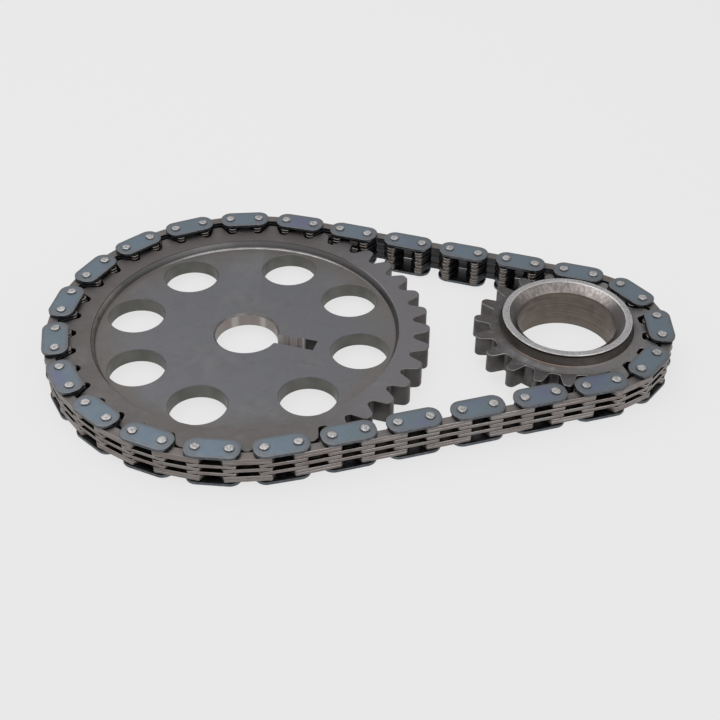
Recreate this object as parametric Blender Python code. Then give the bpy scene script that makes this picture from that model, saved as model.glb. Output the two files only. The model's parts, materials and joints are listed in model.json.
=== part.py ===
"""Timing chain set: a silent (inverted tooth) chain wrapped round a cam sprocket and a crank sprocket.

The set lies flat. +X runs from the cam sprocket to the crank sprocket and +Z is up. The origin is the
middle of the footprint, on the surface that the set lies on. Links run clockwise as seen from above.
"""

import math

import bmesh
import bpy
from mathutils import Matrix

# Chain and loop
PITCH = 0.0127
CAM_TEETH = 38
CRANK_TEETH = 19
CAM_WRAP_LINKS = 23
CRANK_WRAP_LINKS = 7
RUN_LINKS = 10
CAM_EXIT_PIN = 13

# Link heights, from the floor up
RIVET_HEAD = 0.0007
GUIDE_PLATE = 0.0013
OUTER_STACK = 0.00264
GUIDE_STACK = 0.00148
MIDDLE_STACK = 0.00156
SIDE_GAP = 0.0003

# Guide plate and rivet pin
GUIDE_END = 0.00425
GUIDE_WIDTH = 0.0106
GUIDE_CORNER = 0.0040
PIN_RADIUS = 0.0017
PIN_SIDES = 6
PIN_PLAY = 0.0005

# Toothed plate, measured from the pitch line
PLATE_END = 0.0048
PLATE_BACK = 0.0046
PLATE_SHOULDER = 0.0025
FLANK_ANGLE = math.radians(30)
TOE_DEPTH = 0.0062
TOE_WIDTH = 0.0023
CROTCH_RISE = 0.0006
CROTCH_WIDTH = 0.0040

# Spacer that ties an inner link's stacks between the ends of its neighbours' plates
SPACER_PLAY = 0.00035
SPACER_INSET = 0.0008

# Sprocket teeth, measured from the links that sit on them
TOOTH_PLAY = 0.00035
TIP_CHAMFER = 0.0007
CAM_TIP_DROP = 0.0013
CRANK_TIP_DROP = 0.00045
ROOT_PLAY = 0.0016
ROOT_RISE = 0.0010

# Cam sprocket
CAM_BACK_PLAY = 0.0003
CAM_FACE_PLAY = 0.0015
RECESS_DEPTH = 0.0033
RECESS_RADIUS = 0.0627
CAM_BORE_RADIUS = 0.0128
HOLE_RADIUS = 0.0116
HOLE_CIRCLE = 0.0480
HOLE_STEP = math.radians(42.4)
HOLE_GROUP_TURN = math.radians(7.8)
SLOT_TURN = math.radians(-14.8)
SLOT_WIDTH = 0.0072
SLOT_DEPTH = 0.0009
DOWEL_REACH = 0.0278
DOWEL_RADIUS = 0.0031

# Crank sprocket
CRANK_BACK_PLAY = 0.0012
CRANK_FACE_PLAY = 0.0004
HUB_RADIUS = 0.0262
HUB_HEIGHT = 0.0061
SHOULDER_INSET = 0.0004
SHOULDER_RISE = 0.0016
BOSS_RADIUS = 0.0280
CRANK_BORE_RADIUS = 0.0201
HUB_RIM = 0.0026
MOUTH_DEPTH = 0.0032

# How round things are cut
ROUND_SIDES = 36
HOLE_SIDES = 18
DOWEL_SIDES = 12
CORNER_STEPS = 2
OVERCUT = 0.002
BITE = 0.0002

# Sizes worked out from the ones above
CAM_STEP = 2 * math.pi / CAM_TEETH
CRANK_STEP = 2 * math.pi / CRANK_TEETH
CAM_RADIUS = PITCH / (2 * math.sin(CAM_STEP / 2))
CRANK_RADIUS = PITCH / (2 * math.sin(CRANK_STEP / 2))
CAM_EXIT = math.pi - CAM_WRAP_LINKS * CAM_STEP / 2
CRANK_ENTRY = CRANK_WRAP_LINKS * CRANK_STEP / 2
LINKS = CAM_WRAP_LINKS + CRANK_WRAP_LINKS + 2 * RUN_LINKS
RUN_FALL = CAM_RADIUS * math.sin(CAM_EXIT) - CRANK_RADIUS * math.sin(CRANK_ENTRY)
RUN_REACH = math.sqrt((RUN_LINKS * PITCH) ** 2 - RUN_FALL**2)
CENTRES = RUN_REACH + CAM_RADIUS * math.cos(CAM_EXIT) - CRANK_RADIUS * math.cos(CRANK_ENTRY)
PIN_HOLE = (PIN_RADIUS + PIN_PLAY) / math.cos(math.pi / PIN_SIDES)
MOUTH_RADIUS = HUB_RADIUS - HUB_RIM
SHARP_EDGE = math.radians(30)


def remove_everything():
    for thing in list(bpy.data.objects):
        bpy.data.objects.remove(thing)


def material(name, colour, roughness, metallic):
    made = bpy.data.materials.new(name)
    made.use_nodes = True
    surface = made.node_tree.nodes["Principled BSDF"]
    surface.inputs["Base Color"].default_value = (*colour, 1)
    surface.inputs["Roughness"].default_value = roughness
    surface.inputs["Metallic"].default_value = metallic
    return made


def add_object(name, mesh):
    thing = bpy.data.objects.new(name, mesh)
    bpy.context.scene.collection.objects.link(thing)
    return thing


def ringed(name, rings):
    """A closed solid through rings of points, from the lowest ring to the highest."""
    shape = bmesh.new()
    rows = [[shape.verts.new(point) for point in ring] for ring in rings]
    count = len(rings[0])
    for low, high in zip(rows, rows[1:]):
        for i in range(count):
            j = (i + 1) % count
            shape.faces.new((low[i], low[j], high[j], high[i]))
    shape.faces.new(list(reversed(rows[0])))
    shape.faces.new(rows[-1])
    mesh = bpy.data.meshes.new(name)
    shape.to_mesh(mesh)
    shape.free()
    return add_object(name, mesh)


def prism(name, outline, low, high):
    """An outline that runs anticlockwise, extruded between two heights."""
    return ringed(name, [[(x, y, z) for x, y in outline] for z in (low, high)])


def turned(name, profile, sides=ROUND_SIDES):
    """A profile of (radius, height) points, lowest first, turned about Z."""
    turns = [2 * math.pi * i / sides for i in range(sides)]
    return ringed(name, [[(r * math.cos(a), r * math.sin(a), z) for a in turns] for r, z in profile])


def moved(thing, x=0.0, y=0.0, turn=0.0):
    thing.data.transform(Matrix.Translation((x, y, 0)) @ Matrix.Rotation(turn, 4, "Z"))
    return thing


def boolean(body, tool, operation):
    """Joins a tool to a body, or cuts it away, and removes the tool."""
    step = body.modifiers.new("boolean", "BOOLEAN")
    step.operation = operation
    step.solver = "EXACT"
    step.object = tool
    mesh = bpy.data.meshes.new_from_object(body.evaluated_get(bpy.context.evaluated_depsgraph_get()))
    body.modifiers.clear()
    body.data = mesh
    bpy.data.objects.remove(tool)


def join(body, *tools):
    for tool in tools:
        boolean(body, tool, "UNION")
    return body


def cut(body, *tools):
    for tool in tools:
        boolean(body, tool, "DIFFERENCE")
    return body


def chain_pins():
    """Pin centres clockwise from the cam sprocket's far side, with the cam sprocket at the origin."""
    pins = []
    for i in range(CAM_EXIT_PIN + 1):
        turn = CAM_EXIT + (CAM_EXIT_PIN - i) * CAM_STEP
        pins.append((CAM_RADIUS * math.cos(turn), CAM_RADIUS * math.sin(turn)))
    crank_pins = []
    for i in range(CRANK_WRAP_LINKS + 1):
        turn = CRANK_ENTRY - i * CRANK_STEP
        crank_pins.append((CENTRES + CRANK_RADIUS * math.cos(turn), CRANK_RADIUS * math.sin(turn)))
    cam_front = (CAM_RADIUS * math.cos(CAM_EXIT), -CAM_RADIUS * math.sin(CAM_EXIT))
    pins += between(pins[-1], crank_pins[0]) + crank_pins + between(crank_pins[-1], cam_front)
    for i in range(LINKS - len(pins)):
        turn = -CAM_EXIT - i * CAM_STEP
        pins.append((CAM_RADIUS * math.cos(turn), CAM_RADIUS * math.sin(turn)))
    return pins


def between(start, end):
    """The pins of a straight run, without its two ends."""
    shares = [i / RUN_LINKS for i in range(1, RUN_LINKS)]
    return [(start[0] + (end[0] - start[0]) * s, start[1] + (end[1] - start[1]) * s) for s in shares]


def mirrored(half, middle):
    """A full outline from its right half, given from top to bottom about x = middle."""
    right = [(middle + x, y) for x, y in half]
    left = [(middle - x, y) for x, y in reversed(half)]
    return list(reversed(right + left))


def toothed_outline():
    """A plate with two inward teeth, from the pin at x = 0 to the pin at x = PITCH. Inward is -Y."""
    reach = PITCH / 2 + PLATE_END
    toe = reach - TOE_DEPTH * math.tan(FLANK_ANGLE)
    half = [
        (PITCH / 2 + PLATE_SHOULDER, PLATE_BACK),
        (reach, 0),
        (toe, -TOE_DEPTH),
        (toe - TOE_WIDTH, -TOE_DEPTH),
        (CROTCH_WIDTH / 2, CROTCH_RISE),
    ]
    return mirrored(half, PITCH / 2)


def guide_outline():
    """A long plate with round corners over both pins of a guide link."""
    half_length = PITCH / 2 + GUIDE_END
    half_width = GUIDE_WIDTH / 2
    outline = []
    for quarter in range(4):
        across = half_length - GUIDE_CORNER
        along = half_width - GUIDE_CORNER
        x = PITCH / 2 + (across if quarter in (0, 3) else -across)
        y = along if quarter < 2 else -along
        for i in range(CORNER_STEPS + 1):
            turn = (quarter + i / CORNER_STEPS) * math.pi / 2
            outline.append((x + GUIDE_CORNER * math.cos(turn), y + GUIDE_CORNER * math.sin(turn)))
    return outline


def polygon(x, radius, sides):
    turns = [2 * math.pi * (i + 0.5) / sides for i in range(sides)]
    return [(x + radius * math.cos(a), radius * math.sin(a)) for a in turns]


def spacer_outline():
    """A block in the middle of an inner link, behind the notch that the sprocket teeth fill."""
    half = PITCH / 2 - PLATE_END - SPACER_PLAY
    low = CROTCH_RISE + SPACER_INSET
    high = PLATE_BACK - SPACER_INSET
    left, right = PITCH / 2 - half, PITCH / 2 + half
    return [(left, low), (right, low), (right, high), (left, high)]


def stack_heights():
    """The low and high faces of the five stacks of plates, and the two inner faces of the guide plates."""
    floor = RIVET_HEAD + GUIDE_PLATE
    level = floor
    stacks = []
    for thickness in (OUTER_STACK, GUIDE_STACK, MIDDLE_STACK, GUIDE_STACK, OUTER_STACK):
        level += SIDE_GAP
        stacks.append((level, level + thickness))
        level += thickness
    return stacks, floor, level + SIDE_GAP


def guide_link_mesh():
    """Two guide plates, two riveted pins and two stacks of toothed plates, made one by the riveting."""
    stacks, floor, roof = stack_heights()
    link = prism("link", guide_outline(), RIVET_HEAD, floor)
    join(link, prism("plate", guide_outline(), roof, roof + GUIDE_PLATE))
    top = roof + GUIDE_PLATE + RIVET_HEAD
    for x in (0, PITCH):
        join(link, prism("pin", polygon(x, PIN_RADIUS, PIN_SIDES), 0, top))
    for low, high in (stacks[1], stacks[3]):
        join(link, prism("stack", toothed_outline(), low, high))
    return link.data


def inner_link_mesh():
    """Three stacks of toothed plates that turn on their neighbours' pins, tied by a spacer."""
    stacks = stack_heights()[0]
    layers = (stacks[0], stacks[2], stacks[4])
    plates = []
    for low, high in layers:
        plate = prism("stack", toothed_outline(), low, high)
        for x in (0, PITCH):
            hole = polygon(x, PIN_HOLE, PIN_SIDES)
            cut(plate, prism("hole", hole, low - OVERCUT, high + OVERCUT))
        plates.append(plate)
    low = layers[0][1] - BITE
    high = layers[2][0] + BITE
    return join(plates[0], prism("spacer", spacer_outline(), low, high), *plates[1:]).data


def tooth_half_width(radius, step, pitch_line):
    """Half the tooth's width at a radius, so that its flanks clear the outer flanks of seated links."""
    reach = PITCH / 2 + PLATE_END
    flank = FLANK_ANGLE - step
    beside = pitch_line * math.sin(step) - reach * math.cos(step)
    out = pitch_line * math.cos(step) + reach * math.sin(step)
    return beside + (out - radius) * math.tan(flank) - TOOTH_PLAY / math.cos(flank)


def root_radius(pitch_line):
    """How deep the hollows between teeth are cut, below the toes of seated links."""
    return pitch_line - TOE_DEPTH - ROOT_PLAY


def toothed_wheel_outline(teeth, pitch_radius, tip_drop):
    """Straight-flanked teeth with chamfered tips and hollow roots, the first tooth on the +X axis."""
    step = 2 * math.pi / teeth
    pitch_line = pitch_radius * math.cos(step / 2)
    tip = pitch_line - tip_drop
    root = root_radius(pitch_line)
    foot = root + ROOT_RISE
    shoulder = tip - TIP_CHAMFER
    foot_half = tooth_half_width(foot, step, pitch_line)
    shoulder_half = tooth_half_width(shoulder, step, pitch_line)
    tip_half = shoulder_half - TIP_CHAMFER
    tooth = [
        (foot, -foot_half),
        (shoulder, -shoulder_half),
        (tip, -tip_half),
        (tip, tip_half),
        (shoulder, shoulder_half),
        (foot, foot_half),
    ]
    outline = []
    for i in range(teeth):
        c, s = math.cos(i * step), math.sin(i * step)
        outline += [(x * c - y * s, x * s + y * c) for x, y in tooth]
        gap = (i + 0.5) * step
        outline.append((root * math.cos(gap), root * math.sin(gap)))
    return outline


def cam_sprocket():
    """A one-piece toothed rim and recessed web with a bore, eight lightening holes and a dowel slot."""
    floor, roof = stack_heights()[1:]
    low, high = floor + CAM_BACK_PLAY, roof - CAM_FACE_PLAY
    web = high - RECESS_DEPTH
    below, above = low - OVERCUT, high + OVERCUT
    teeth = toothed_wheel_outline(CAM_TEETH, CAM_RADIUS, CAM_TIP_DROP)
    wheel = prism("cam_sprocket", teeth, low, high)
    cut(wheel, turned("recess", [(RECESS_RADIUS, web), (RECESS_RADIUS, above)]))
    cut(wheel, turned("bore", [(CAM_BORE_RADIUS, below), (CAM_BORE_RADIUS, above)], HOLE_SIDES))
    for group in (0, math.pi):
        for place in (-1.5, -0.5, 0.5, 1.5):
            turn = HOLE_GROUP_TURN + group + place * HOLE_STEP
            hole = turned("hole", [(HOLE_RADIUS, below), (HOLE_RADIUS, above)], HOLE_SIDES)
            cut(wheel, moved(hole, HOLE_CIRCLE * math.cos(turn), HOLE_CIRCLE * math.sin(turn)))
    end, half = DOWEL_REACH + SLOT_WIDTH / 2, SLOT_WIDTH / 2
    start = CAM_BORE_RADIUS / 2
    slot = [(start, -half), (end, -half), (end, half), (start, half)]
    cut(wheel, moved(prism("slot", slot, web - SLOT_DEPTH, above), turn=SLOT_TURN))
    dowel = turned("dowel", [(DOWEL_RADIUS, below), (DOWEL_RADIUS, above)], DOWEL_SIDES)
    x, y = DOWEL_REACH * math.cos(SLOT_TURN), DOWEL_REACH * math.sin(SLOT_TURN)
    return cut(wheel, moved(dowel, x, y))


def crank_sprocket():
    """A one-piece toothed wheel with a hub on a sloping shoulder, a boss below and a bore with a wide mouth."""
    floor, roof = stack_heights()[1:]
    low, high = floor + CRANK_BACK_PLAY, roof - CRANK_FACE_PLAY
    top = high + HUB_HEIGHT
    teeth = toothed_wheel_outline(CRANK_TEETH, CRANK_RADIUS, CRANK_TIP_DROP)
    wheel = prism("crank_sprocket", teeth, low, high)
    shoulder = root_radius(CRANK_RADIUS * math.cos(CRANK_STEP / 2)) - SHOULDER_INSET
    hub = [(shoulder, high - BITE), (HUB_RADIUS, high + SHOULDER_RISE), (HUB_RADIUS, top)]
    join(wheel, turned("hub", hub), turned("boss", [(BOSS_RADIUS, 0), (BOSS_RADIUS, low + BITE)]))
    slope = (MOUTH_RADIUS - CRANK_BORE_RADIUS) / MOUTH_DEPTH
    bore = [
        (CRANK_BORE_RADIUS, -OVERCUT),
        (CRANK_BORE_RADIUS, top - MOUTH_DEPTH),
        (MOUTH_RADIUS + slope * OVERCUT, top + OVERCUT),
    ]
    return cut(wheel, turned("bore", bore))


def finish_node(thing, look, base):
    thing.data.materials.clear()
    thing.data.materials.append(look)
    thing.data.shade_smooth()
    thing.data.set_sharp_from_angle(angle=SHARP_EDGE)
    thing.parent = base


def footprint_middle():
    """The middle of everything along X."""
    bpy.context.view_layer.update()
    spots = [t.matrix_world @ v.co for t in bpy.data.objects if t.type == "MESH" for v in t.data.vertices]
    return (min(s.x for s in spots) + max(s.x for s in spots)) / 2


def build():
    remove_everything()
    blue_steel = material("blue_steel", (0.13, 0.17, 0.21), 0.42, 0.85)
    plate_steel = material("plate_steel", (0.16, 0.14, 0.13), 0.45, 0.85)
    web_steel = material("web_steel", (0.13, 0.13, 0.135), 0.5, 0.8)
    hub_steel = material("hub_steel", (0.15, 0.135, 0.125), 0.42, 0.85)
    base = bpy.data.objects.new("set", None)
    bpy.context.scene.collection.objects.link(base)

    cam = cam_sprocket()
    finish_node(cam, web_steel, base)
    crank = crank_sprocket()
    crank.location.x = CENTRES
    finish_node(crank, hub_steel, base)

    kinds = [("guide_link", guide_link_mesh(), blue_steel), ("inner_link", inner_link_mesh(), plate_steel)]
    for thing in [t for t in bpy.data.objects if t.data and t not in (cam, crank)]:
        bpy.data.objects.remove(thing)
    pins = chain_pins()
    for k, (x, y) in enumerate(pins):
        kind, mesh, look = kinds[k % 2]
        next_x, next_y = pins[(k + 1) % LINKS]
        link = add_object(f"{kind}_{k // 2 + 1:02d}", mesh)
        link.location = (x, y, 0)
        link.rotation_euler.z = math.atan2(next_y - y, next_x - x)
        finish_node(link, look, base)
    base.location.x = -footprint_middle()


build()
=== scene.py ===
"""Looks of the timing chain set: laminated links, riveted guide plates and two worn steel sprockets.

Sizes are in millimetres, in the CAD's own frame. Meshes turn into metres when they become pieces.
Each piece keeps its place in its mesh, so its object coordinates are the frame's coordinates at rest.
"""

import json
import math
import random

import bmesh
import bpy
from mathutils import Matrix, Vector
from mathutils.geometry import tessellate_polygon


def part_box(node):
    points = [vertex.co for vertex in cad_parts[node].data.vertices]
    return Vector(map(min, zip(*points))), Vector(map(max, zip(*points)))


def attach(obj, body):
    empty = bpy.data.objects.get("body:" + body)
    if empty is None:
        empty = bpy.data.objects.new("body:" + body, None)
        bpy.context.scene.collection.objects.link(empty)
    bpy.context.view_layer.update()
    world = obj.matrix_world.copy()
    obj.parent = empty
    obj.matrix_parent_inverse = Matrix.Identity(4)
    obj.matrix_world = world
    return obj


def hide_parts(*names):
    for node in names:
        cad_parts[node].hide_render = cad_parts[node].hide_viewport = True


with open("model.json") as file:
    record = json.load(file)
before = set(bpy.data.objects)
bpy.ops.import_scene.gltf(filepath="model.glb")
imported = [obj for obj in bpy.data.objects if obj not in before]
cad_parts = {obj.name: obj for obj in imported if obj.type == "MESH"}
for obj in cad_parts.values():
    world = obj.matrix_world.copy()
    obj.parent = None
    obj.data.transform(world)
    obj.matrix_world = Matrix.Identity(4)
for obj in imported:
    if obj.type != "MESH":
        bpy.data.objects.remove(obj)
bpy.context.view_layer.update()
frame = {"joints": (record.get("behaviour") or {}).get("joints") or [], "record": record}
MM = 0.001

# Where the sprockets turn and how high they reach, from the frame
AXIS = {j["name"]: Vector(j["pos_m"]) / MM for j in frame["joints"]}
CAM_AT = AXIS["cam_sprocket_spin"]
CRANK_AT = AXIS["crank_sprocket_spin"]
CAM_LOW, CAM_HIGH = (corner.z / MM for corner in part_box("cam_sprocket"))
CRANK_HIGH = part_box("crank_sprocket")[1].z / MM
BODY_OF = {n: b for b, nodes in frame["record"]["behaviour"]["bodies"].items() for n in nodes}

# Chain
PITCH = 12.7
CAM_TEETH = 38
CRANK_TEETH = 19
CAM_WRAP_LINKS = 23
CRANK_WRAP_LINKS = 7
RUN_LINKS = 10
CAM_EXIT_PIN = 13
CAM_STEP = 2 * math.pi / CAM_TEETH
CRANK_STEP = 2 * math.pi / CRANK_TEETH
CAM_RADIUS = PITCH / (2 * math.sin(CAM_STEP / 2))
CRANK_RADIUS = PITCH / (2 * math.sin(CRANK_STEP / 2))
CAM_EXIT = math.pi - CAM_WRAP_LINKS * CAM_STEP / 2
CRANK_ENTRY = CRANK_WRAP_LINKS * CRANK_STEP / 2
LINKS = CAM_WRAP_LINKS + CRANK_WRAP_LINKS + 2 * RUN_LINKS

# Link heights, from the floor up, and how many plates an outer and an inner stack has
RIVET_HEAD = 0.7
GUIDE_PLATE = 1.3
OUTER_STACK = 2.64
GUIDE_STACK = 1.48
MIDDLE_STACK = 1.56
SIDE_GAP = 0.3
OUTER_PLATES = 2
INNER_PLATES = 1

# Guide plate: its edges are rolled over a little by the stamping
GUIDE_END = 4.25
GUIDE_WIDTH = 10.6
GUIDE_CORNER = 4.5
GUIDE_EDGE = 0.14
GUIDE_ROLL = 0.05
GUIDE_ROLL_WIDTH = 1.1

# Toothed plate, measured from the pitch line
PLATE_END = 4.8
PLATE_BACK = 4.6
PLATE_SHOULDER = 2.5
FLANK_ANGLE = math.radians(30)
TOE_DEPTH = 6.2
TOE_WIDTH = 2.3
TOE_ROUND = 1.4
CROTCH_RISE = 0.6
CROTCH_WIDTH = 4.0
CROTCH_ROUND = 1.2
BACK_ROUND = 1.0
END_ROUND = 0.8
PLATE_EDGE = 0.11
PLATE_SLIP = 0.035
PLATE_TILT = math.radians(0.15)
LAMINATION_GAP = 0.02

# Rivet pin: peened heads, each a little lobed, dented and leaning
PIN_RADIUS = 1.7
PIN_PRESS = 0.03
PIN_PLAY = 0.45
COUNTERSINK = 0.12
PIN_SIDES = 24
HEAD_LOBES = (2, 3, 5)
HEAD_LOBE_SHARE = 0.028
HEAD_DENT = 0.05
HEAD_LEAN = 0.035
# Radius and height above the guide plate, from the shank to the middle of the head
HEAD_PROFILE = ((PIN_RADIUS, -0.3), (1.77, 0.02), (1.81, 0.42), (1.74, 0.58),
                (1.5, 0.66), (1.0, 0.68), (0.43, 0.63))

# Sprocket teeth
TOOTH_PLAY = 0.35
CAM_TIP_DROP = 1.3
CRANK_TIP_DROP = 0.45
CAM_ROOT_PLAY = 1.6
CRANK_ROOT_PLAY = 1.0
CAM_TIP_ROUND = 2.3
CRANK_TIP_ROUND = 2.1
CAM_ROOT_ROUND = 1.7
CRANK_ROOT_ROUND = 1.3
TOOTH_EDGE = 0.22

# Cam sprocket
RECESS_DEPTH = 3.3
RECESS_RADIUS = 62.7
RECESS_SLOPE = 1.0
RECESS_FILLET = 0.7
RECESS_LIP = 0.28
CAM_BORE_RADIUS = 12.8
CAM_BORE_EDGE = 0.8
HOLE_RADIUS = 11.6
HOLE_CIRCLE = 48.0
HOLE_STEP = math.radians(42.4)
HOLE_GROUP_TURN = math.radians(7.8)
HOLE_PLACES = (-1.5, -0.5, 0.5, 1.5)
HOLE_EDGE = 0.25
SLOT_TURN = math.radians(-16.2)
SLOT_WIDTH = 6.3
SLOT_DEPTH = 5.2
SLOT_RIDGE = 0.1
SLOT_RIDGE_STEP = 0.7
DOWEL_REACH = 26.65
DOWEL_RADIUS = 3.0

# Crank sprocket
CRANK_BACK_PLAY = 2.4
CRANK_FACE_PLAY = 0.4
HUB_RADIUS = 26.2
HUB_FLARE = 1.2
HUB_EDGE = 0.35
HUB_NECK = 0.35
CROWN_HEIGHT = 1.2
SHOULDER_INSET = 0.4
SHOULDER_RISE = 1.6
BOSS_RADIUS = 28.0
BOSS_EDGE = 0.4
CRANK_BORE_RADIUS = 20.1
CRANK_BORE_EDGE = 0.1
HUB_RIM = 2.6
MOUTH_DEPTH = 3.2
MOUTH_EDGE = 0.16

# How finely things are made
ARC_STEPS = 4
GUIDE_ARC_STEPS = 3 * ARC_STEPS
ROLL_STEPS = 3
ROUND_SIDES = 128
HOLE_SIDES = 72
SHARP_EDGE = math.radians(32)

# How far cutters reach past a solid, and joined solids into each other
OVERCUT = 2.0
BITE = 0.2

# Photograph's camera, in millimetres and radians: its target is measured from the cam's axis
FOCAL_PIXELS = 1308.685
PHOTO_PIXELS = 720
CAMERA_TARGET = Vector((46.93, -25.71))
CAMERA_DISTANCE = 513.8
CAMERA_TURN = 0.0055746
CAMERA_RISE = 0.6785882
CAMERA_ROLL = 0.0066637
SENSOR = 36.0
NEAR_CLIP = 0.01

# Guide plate tints: along it from its middle, in from its edge, and out from a pin for a ring of oil and
# painted shade round each rivet head
BLUE_MIDDLE = (7.5, 3.0)
GREY_BORDER = (1.7, 0.5)
BORDER_WANDER = 0.4
OIL_AND_SHADE_RING = (2.6, 1.9)
RING_WANDER = 0.3

# Toothed plate tints, across it from the pitch line: oil and painted shade between the teeth, a painted
# tone at the tips
CROTCH_SHADE = (2.2, 0.6)
TOE_SHADE = (-5.9, -4.6)
TIP_SHADE = (-4.8, -5.7)

# Cam sprocket tints, right of its axis or aside from it, and the brown of its web, in from the foot; the
# foot and lip fades place painted highlights, the bore bands a painted reflection
RIM_FADE = (15, 60)
FOOT_HIGHLIGHT_FADE = (26, 44)
DISH_FADE = (-61.5, -54)
LIP_HIGHLIGHT_FADE = (36, 54)
REFLECTION_BAND_INNER = (3.6, 5.6)
REFLECTION_BAND_OUTER = (8.0, 6.0)
BROWN_WIDTH = 18
BROWN_WANDER = 8

# Slot tints, out from the cam sprocket's axis, with a painted highlight and painted shade near its end
SLOT_GREY = (14.3, 16.8)
SLOT_LIT_START = (23.2, 23.8)
SLOT_LIT_END = (24.6, 24.0)
SLOT_SHADE = (24.4, 25.2)

# Crank sprocket tints, behind its axis for the mouth's painted shade and reflection and for the coppery
# painted highlight, right of it for the face
MOUTH_LIGHT_FADE = (6, 18)
FACE_FADE = (-24, 24)
COPPER_FRONT = (-12, -24)
COPPER_WIDTH = 0.45

# Noise: most of its range, and the parts of it over which patches, stripes and scratches change tone
CLOUD = (0.3, 0.7)
SOFT_CUT = (0.36, 0.66)
STRIPE_CUT = (0.36, 0.64)
SCRATCH_CUT = (0.66, 0.74)
SCRATCH_STRETCH = (16, 1, 4)
BUMP_STRENGTH = 0.6

# Places of a Mix node's two colours among its inputs and of its result among its outputs
MIX_COLOURS = (6, 7)
MIX_RESULT = 2

# Light and floor: lamps are (name, place in metres, size in metres, power in watts)
PALE = 0.831
FLOOR_GLOW = 0.86
FLOOR_HALF = 1500.0
FLOOR_DROP = 0.05
WORLD_STRENGTH = 0.5
LAMPS = (("key", (-0.25, 0.15, 0.75), 0.8, 2.6), ("fill", (0.45, -0.7, 0.55), 0.8, 1.6))


def stack_heights():
    """Low and high faces of the five stacks of plates, and the inner faces of the guide plates."""
    floor = RIVET_HEAD + GUIDE_PLATE
    level = floor
    stacks = []
    for thickness in (OUTER_STACK, GUIDE_STACK, MIDDLE_STACK, GUIDE_STACK, OUTER_STACK):
        level += SIDE_GAP
        stacks.append((level, level + thickness))
        level += thickness
    return stacks, floor, level + SIDE_GAP


STACKS, LINK_FLOOR, LINK_ROOF = stack_heights()
RIVET_TOP = LINK_ROOF + GUIDE_PLATE + RIVET_HEAD


# Node helpers

class Shader:
    """A Principled material and the short way to add nodes to it."""

    def __init__(self, name, metallic=1.0):
        self.material = bpy.data.materials.new(name)
        self.material.use_nodes = True
        self.tree = self.material.node_tree
        self.surface = self.tree.nodes["Principled BSDF"]
        self.surface.inputs["Metallic"].default_value = metallic
        self.place = self.add("ShaderNodeTexCoord").outputs["Object"]

    def add(self, kind, **settings):
        node = self.tree.nodes.new(kind)
        for key, value in settings.items():
            setattr(node, key, value)
        return node

    def link(self, source, target):
        self.tree.links.new(source, target)

    def feed(self, node, socket, value):
        if isinstance(value, bpy.types.NodeSocket):
            self.link(value, node.inputs[socket])
        else:
            node.inputs[socket].default_value = value

    def scaled(self, sizes, turn=0.0):
        """The piece's coordinates, turned about Z and divided by a size in millimetres along each axis."""
        node = self.add("ShaderNodeMapping", vector_type="TEXTURE")
        node.inputs["Scale"].default_value = [size * MM for size in sizes]
        node.inputs["Rotation"].default_value = (0, 0, turn)
        self.link(self.place, node.inputs["Vector"])
        return node.outputs["Vector"]

    def coordinates(self):
        """The piece's x, y and z in millimetres."""
        split = self.add("ShaderNodeSeparateXYZ")
        self.link(self.scaled((1, 1, 1)), split.inputs[0])
        return split.outputs

    def noise(self, size, detail=3.0, rough=0.55, stretch=(1, 1, 1), turn=0.0):
        """Cloudy noise whose patches are about size millimetres across, times stretch along each axis."""
        node = self.add("ShaderNodeTexNoise")
        self.link(self.scaled([size * s for s in stretch], turn), node.inputs["Vector"])
        node.inputs["Scale"].default_value = 1.0
        node.inputs["Detail"].default_value = detail
        node.inputs["Roughness"].default_value = rough
        return node.outputs["Fac"]

    def spread(self, value, low, high, to_low=0.0, to_high=1.0):
        """Maps a value's range from low..high to to_low..to_high, clamped."""
        node = self.add("ShaderNodeMapRange", interpolation_type="SMOOTHSTEP")
        for socket, number in zip(("Value", "From Min", "From Max", "To Min", "To Max"),
                                  (value, low, high, to_low, to_high)):
            self.feed(node, socket, number)
        return node.outputs["Result"]

    def mix(self, share, first, second):
        node = self.add("ShaderNodeMix", data_type="RGBA")
        self.feed(node, 0, share)
        for socket, colour in zip(MIX_COLOURS, (first, second)):
            self.feed(node, socket, colour if isinstance(colour, bpy.types.NodeSocket) else (*colour, 1))
        return node.outputs[MIX_RESULT]

    def maths(self, operation, first, second=0.0):
        node = self.add("ShaderNodeMath", operation=operation)
        self.feed(node, 0, first)
        self.feed(node, 1, second)
        return node.outputs[0]

    def length(self, x, y):
        squares = [self.maths("MULTIPLY", side, side) for side in (x, y)]
        return self.maths("SQRT", self.maths("ADD", *squares))

    def right_of(self, centre):
        """Distance in millimetres along +X from an upright axis."""
        return self.maths("SUBTRACT", self.coordinates()[0], centre.x)

    def behind(self, centre):
        """Distance in millimetres along +Y from an upright axis."""
        return self.maths("SUBTRACT", self.coordinates()[1], centre.y)

    def radius_from(self, centre):
        """Distance in millimetres from an upright axis."""
        return self.length(self.right_of(centre), self.behind(centre))

    def scratches(self, size, turn, share):
        """Thin straight scratches along one direction."""
        return self.spread(self.noise(size, 2, 0.5, SCRATCH_STRETCH, turn), *SCRATCH_CUT, 0, share)

    def patches(self, tint, other, noise, cut, share=1.0):
        """A tint with another over it, up to a share, where a noise passes a cut."""
        return self.mix(self.spread(self.noise(*noise), *cut, 0, share), tint, other)

    def attribute(self, name):
        return self.add("ShaderNodeAttribute", attribute_name=name).outputs["Fac"]

    def colour(self, value):
        self.feed(self.surface, "Base Color", value)

    def roughness(self, span, noise):
        """Roughness that varies over a span in the patches of a noise."""
        self.feed(self.surface, "Roughness", self.spread(self.noise(*noise), *CLOUD, *span))

    def bump(self, height, depth):
        """A relief of depth millimetres."""
        node = self.add("ShaderNodeBump")
        node.inputs["Strength"].default_value = BUMP_STRENGTH
        node.inputs["Distance"].default_value = depth * MM
        self.link(height, node.inputs["Height"])
        self.link(node.outputs["Normal"], self.surface.inputs["Normal"])


# Materials

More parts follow.
